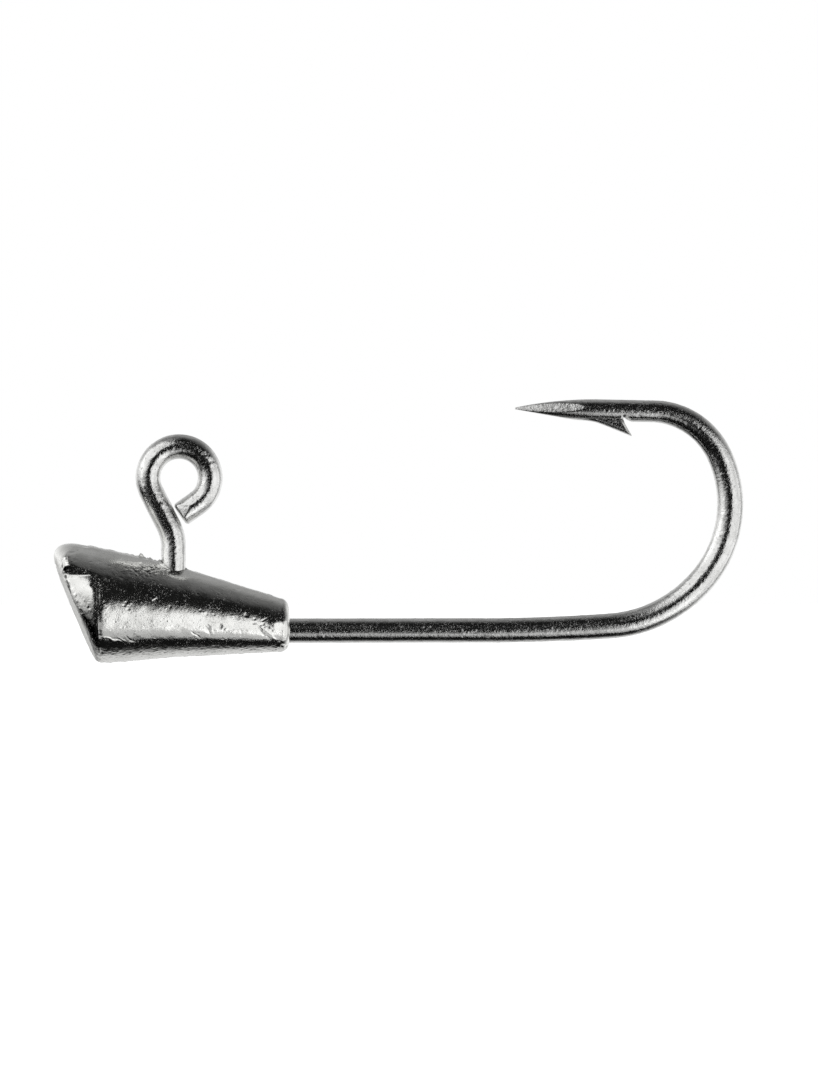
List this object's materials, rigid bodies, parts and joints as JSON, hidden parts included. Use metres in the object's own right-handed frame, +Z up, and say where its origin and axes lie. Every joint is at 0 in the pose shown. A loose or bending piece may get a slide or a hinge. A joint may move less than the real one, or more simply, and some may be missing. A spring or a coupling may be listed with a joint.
{
  "type": "jig head",
  "caption": "Fishing jig head: a tapered lead casting with a slanted nose on a wire hook with an upright line eye, a straight shank, a round bend and a barbed point.",
  "frame": {"origin": "centre of the eye where the line is tied", "axes": "+X along the shank from the head towards the hook's bend, +Z up on the side of the eye and the point, Y across"},
  "size_m": [0.0339, 0.0058, 0.0129],
  "materials": {
    "tinned_wire": "bright tin plating over drawn steel wire, finely grained, slightly cloudy",
    "cast_lead": "bare lead as cast, bright silver grey, with mould grain, small pits and a worn rim"
  },
  "bodies": {
    "root": {"jig_hook": "tinned_wire", "lead_head": "cast_lead"}
  },
  "joints": []
}
